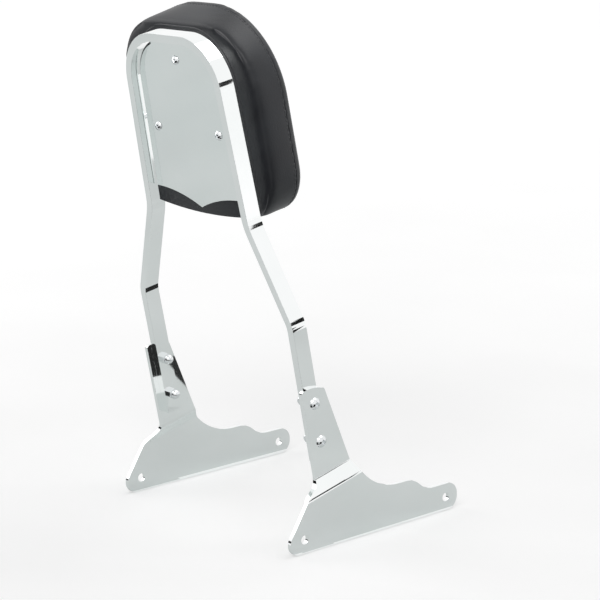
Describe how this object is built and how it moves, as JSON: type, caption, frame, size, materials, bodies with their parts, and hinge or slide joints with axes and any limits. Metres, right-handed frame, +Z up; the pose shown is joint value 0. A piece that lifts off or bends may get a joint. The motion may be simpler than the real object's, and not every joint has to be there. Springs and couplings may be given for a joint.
{
  "type": "sissy bar",
  "caption": "Chrome flat-bar sissy bar for a motorcycle: a leaning hoop with a back plate and stuffed pad, on two cranked side plates that bolt to the fender struts.",
  "frame": {"origin": "on the axis of the rear strut holes, midway between the side plates", "axes": "+X to the right of the bike along the strut holes, +Y forward, +Z up"},
  "size_m": [0.3046, 0.2884, 0.5889],
  "materials": {
    "chrome_bar": "mirror polished chrome plate",
    "chrome_plate": "mirror polished chrome plate",
    "chrome_screw": "polished chrome plate",
    "vinyl": "satin grained black vinyl",
    "board": "matt moulded plastic",
    "foam": "open-cell urethane foam, soft",
    "zinc": "zinc plated"
  },
  "bodies": {
    "root": {"hoop": "chrome_bar", "back_plate": "chrome_bar", "pad_base_board": "board", "pad_foam": "foam", "pad_cover": "vinyl", "pad_back_welt": "vinyl", "pad_tee_nut_top": "zinc", "pad_tee_nut_left": "zinc", "pad_tee_nut_right": "zinc", "pad_screw_top": "chrome_screw", "pad_screw_left": "chrome_screw", "pad_screw_right": "chrome_screw", "side_plate_left": "chrome_plate", "side_plate_right": "chrome_plate", "bolt_left_upper": "chrome_screw", "bolt_left_lower": "chrome_screw", "bolt_right_upper": "chrome_screw", "bolt_right_lower": "chrome_screw", "cap_nut_left_upper": "chrome_screw", "cap_nut_left_lower": "chrome_screw", "cap_nut_right_upper": "chrome_screw", "cap_nut_right_lower": "chrome_screw"}
  },
  "joints": []
}
